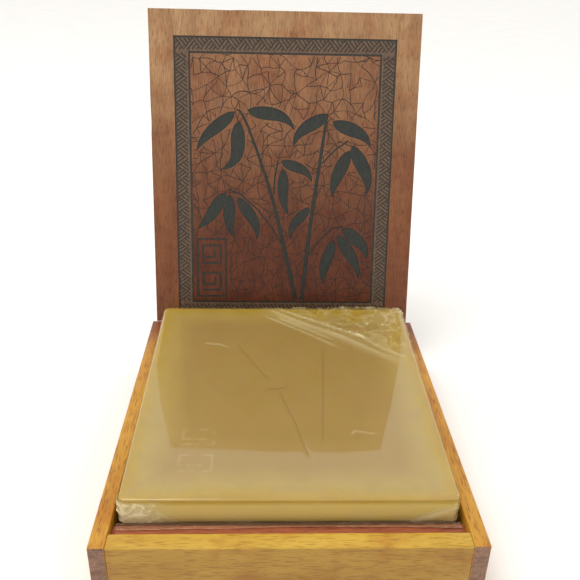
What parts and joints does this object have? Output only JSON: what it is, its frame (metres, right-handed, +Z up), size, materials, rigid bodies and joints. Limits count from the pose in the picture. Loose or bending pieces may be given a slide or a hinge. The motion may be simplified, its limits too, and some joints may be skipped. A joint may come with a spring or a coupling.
{
  "type": "rosin cake in a hinged wooden box",
  "caption": "Flat square cake of bow rosin in clear film, standing in a small varnished wooden box with an engraved hinged lid.",
  "frame": {"origin": "centre of the box's underside, on the surface that it stands on", "axes": "+X to the right as seen from the front, +Y towards the hinged rear edge, +Z up"},
  "size_m": [0.094, 0.1396, 0.1233],
  "materials": {
    "box_wood": "varnished, golden orange",
    "ledge_wood": "varnished, red brown",
    "lid_wood": "open grain, stained brown, with burnt engraving",
    "rosin": "cast rosin, hazy amber green",
    "clear_film": "thin clear plastic film, creased",
    "hinge_brass": "satin"
  },
  "bodies": {
    "box": {"front_wall": "box_wood", "rear_wall": "box_wood", "left_wall": "box_wood", "right_wall": "box_wood", "bottom_board": "box_wood", "front_ledge": "ledge_wood", "left_hinge_box_leaf": "hinge_brass", "right_hinge_box_leaf": "hinge_brass", "left_hinge_pin": "hinge_brass", "right_hinge_pin": "hinge_brass", "left_hinge_box_screw_1": "hinge_brass", "left_hinge_box_screw_2": "hinge_brass", "right_hinge_box_screw_1": "hinge_brass", "right_hinge_box_screw_2": "hinge_brass"},
    "lid": {"lid_panel": "lid_wood", "left_hinge_lid_leaf": "hinge_brass", "right_hinge_lid_leaf": "hinge_brass", "left_hinge_lid_screw_1": "hinge_brass", "left_hinge_lid_screw_2": "hinge_brass", "right_hinge_lid_screw_1": "hinge_brass", "right_hinge_lid_screw_2": "hinge_brass"},
    "cake": {"rosin_cake": "rosin", "film_wrap": "clear_film"}
  },
  "joints": [
    {"name": "lid_hinge", "type": "hinge", "parent": "box", "child": "lid", "pos_m": [0, 0.05455, 0.0165], "axis": [1, 0, 0], "range_deg": [0, 103]},
    {"name": "cake_seat", "type": "slide", "parent": "box", "child": "cake", "axis": [0, 0, 1], "range_m": [-0.0109, 0]}
  ],
  "couplings": [
    {"joint": "cake_seat", "follows": "lid_hinge", "m_per_rad": -0.006}
  ]
}
